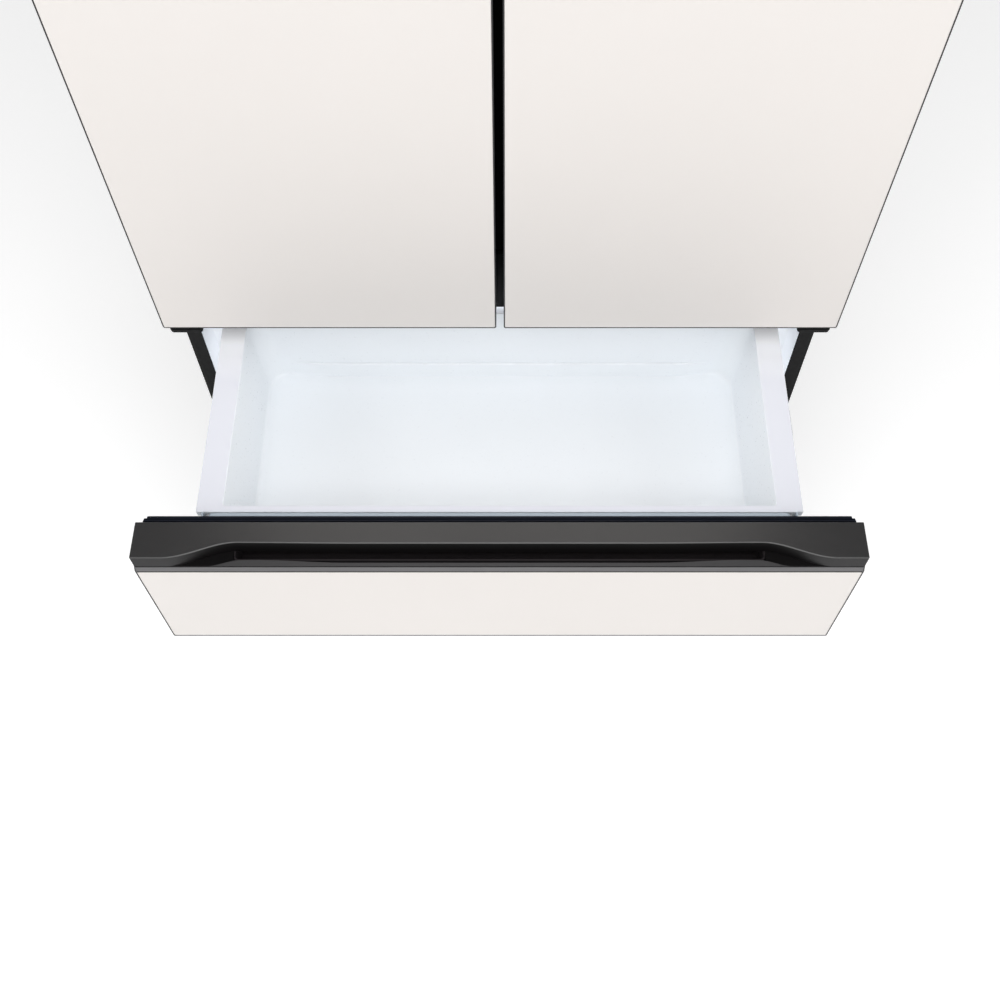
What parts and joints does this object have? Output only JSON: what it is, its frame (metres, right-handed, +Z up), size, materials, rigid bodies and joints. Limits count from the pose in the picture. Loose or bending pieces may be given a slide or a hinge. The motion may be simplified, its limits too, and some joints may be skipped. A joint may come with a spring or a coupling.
{
  "type": "convertible drawer refrigerator",
  "caption": "Free-standing French-door refrigerator with hinged upper doors, a convertible middle drawer pulled open on telescopic rails and a freezer drawer, with recessed pocket handles.",
  "frame": {"origin": "on the floor, at the middle of the rest box, with the convertible drawer open", "axes": "+X to the viewer's right, +Y into the cabinet, +Z up"},
  "size_m": [0.908, 1.063, 1.778],
  "materials": {
    "cream_panel": "satin",
    "dark_trim": "satin",
    "dark_steel": "satin",
    "cabinet_paint": "satin",
    "zinc_steel": "satin",
    "white_liner": "gloss",
    "white_bin": "gloss",
    "clear_bin": "gloss",
    "shelf_glass": "gloss",
    "lamp_lens": "matte",
    "seal_rubber": "matte",
    "foam": "matte",
    "foamed_liner": "satin",
    "fin_aluminium": "satin",
    "compressor_paint": "satin",
    "black_plastic": "matte",
    "grey_plastic": "matte"
  },
  "bodies": {
    "cabinet": {"air_duct_cover": "white_liner", "back_panel": "zinc_steel", "base_pan": "zinc_steel", "cabinet_front_frame": "dark_steel", "cabinet_shell": "cabinet_paint", "ceiling_light": "lamp_lens", "centre_mullion": "black_plastic", "compressor": "compressor_paint", "compressor_mounts": "seal_rubber", "condenser_coil": "fin_aluminium", "divider_bars": "dark_steel", "door_hinges": "dark_steel", "drain_pan": "grey_plastic", "drawer_liner": "white_liner", "evaporator": "fin_aluminium", "evaporator_cover": "white_liner", "fan_motors": "zinc_steel", "freezer_liner": "white_liner", "fresh_food_liner": "white_liner", "glass_shelves": "shelf_glass", "hinge_covers": "dark_trim", "hinge_screws": "zinc_steel", "insulation_foam": "foam", "machine_cover": "zinc_steel", "outer_rails": "zinc_steel", "power_inlet": "black_plastic", "roller_axles": "zinc_steel", "toe_grille": "dark_trim"},
    "left_door": {"left_door_bins": "clear_bin", "left_door_frame": "dark_trim", "left_door_gasket": "seal_rubber", "left_door_liner": "foamed_liner", "left_door_panel": "cream_panel"},
    "right_door": {"right_door_bins": "clear_bin", "right_door_frame": "dark_trim", "right_door_gasket": "seal_rubber", "right_door_liner": "foamed_liner", "right_door_panel": "cream_panel"},
    "convertible_drawer": {"drawer_bin": "white_bin", "drawer_front_core": "foamed_liner", "drawer_front_frame": "dark_trim", "drawer_front_panel": "cream_panel", "drawer_gasket": "seal_rubber", "drawer_handle_cap": "dark_trim", "drawer_inner_rails": "zinc_steel"},
    "drawer_rail_pair": {"drawer_middle_rails": "zinc_steel"},
    "freezer_drawer": {"freezer_bin": "white_bin", "freezer_front_core": "foamed_liner", "freezer_front_frame": "dark_trim", "freezer_front_panel": "cream_panel", "freezer_gasket": "seal_rubber", "freezer_handle_cap": "dark_trim", "freezer_inner_rails": "zinc_steel"},
    "freezer_rail_pair": {"freezer_middle_rails": "zinc_steel"},
    "left_roller": {"left_rear_roller": "black_plastic"},
    "right_roller": {"right_rear_roller": "black_plastic"},
    "left_leg": {"left_levelling_leg": "grey_plastic"},
    "right_leg": {"right_levelling_leg": "grey_plastic"},
    "condenser_rotor": {"condenser_fan": "black_plastic"},
    "evaporator_rotor": {"evaporator_fan": "grey_plastic"}
  },
  "joints": [
    {"name": "left_door_hinge", "type": "hinge", "parent": "cabinet", "child": "left_door", "pos_m": [-0.442, -0.1665, 1.26], "axis": [0, 0, -1], "range_deg": [0, 115]},
    {"name": "right_door_hinge", "type": "hinge", "parent": "cabinet", "child": "right_door", "pos_m": [0.442, -0.1665, 1.26], "axis": [0, 0, 1], "range_deg": [0, 115]},
    {"name": "drawer_slide", "type": "slide", "parent": "cabinet", "child": "convertible_drawer", "axis": [0, -1, 0], "range_m": [-0.34, 0.06]},
    {"name": "drawer_rail_slide", "type": "slide", "parent": "cabinet", "child": "drawer_rail_pair", "axis": [0, -1, 0], "range_m": [-0.17, 0.03]},
    {"name": "freezer_slide", "type": "slide", "parent": "cabinet", "child": "freezer_drawer", "axis": [0, -1, 0], "range_m": [0, 0.36]},
    {"name": "freezer_rail_slide", "type": "slide", "parent": "cabinet", "child": "freezer_rail_pair", "axis": [0, -1, 0], "range_m": [0, 0.18]},
    {"name": "left_roller_spin", "type": "hinge", "parent": "cabinet", "child": "left_roller", "pos_m": [-0.4, 0.4515, 0.02], "axis": [1, 0, 0], "continuous": true},
    {"name": "right_roller_spin", "type": "hinge", "parent": "cabinet", "child": "right_roller", "pos_m": [0.4, 0.4515, 0.02], "axis": [1, 0, 0], "continuous": true},
    {"name": "left_leg_turn", "type": "hinge", "parent": "cabinet", "child": "left_leg", "pos_m": [-0.4, -0.0685, 0.03], "axis": [0, 0, 1], "continuous": true},
    {"name": "right_leg_turn", "type": "hinge", "parent": "cabinet", "child": "right_leg", "pos_m": [0.4, -0.0685, 0.03], "axis": [0, 0, 1], "continuous": true},
    {"name": "condenser_fan_spin", "type": "hinge", "parent": "cabinet", "child": "condenser_rotor", "pos_m": [-0.01, 0.4365, 0.117], "axis": [1, 0, 0], "continuous": true},
    {"name": "evaporator_fan_spin", "type": "hinge", "parent": "cabinet", "child": "evaporator_rotor", "pos_m": [0, 0.2985, 0.395], "axis": [0, 1, 0], "continuous": true}
  ],
  "couplings": [
    {"joint": "drawer_rail_slide", "follows": "drawer_slide", "ratio": 0.5},
    {"joint": "freezer_rail_slide", "follows": "freezer_slide", "ratio": 0.5}
  ]
}
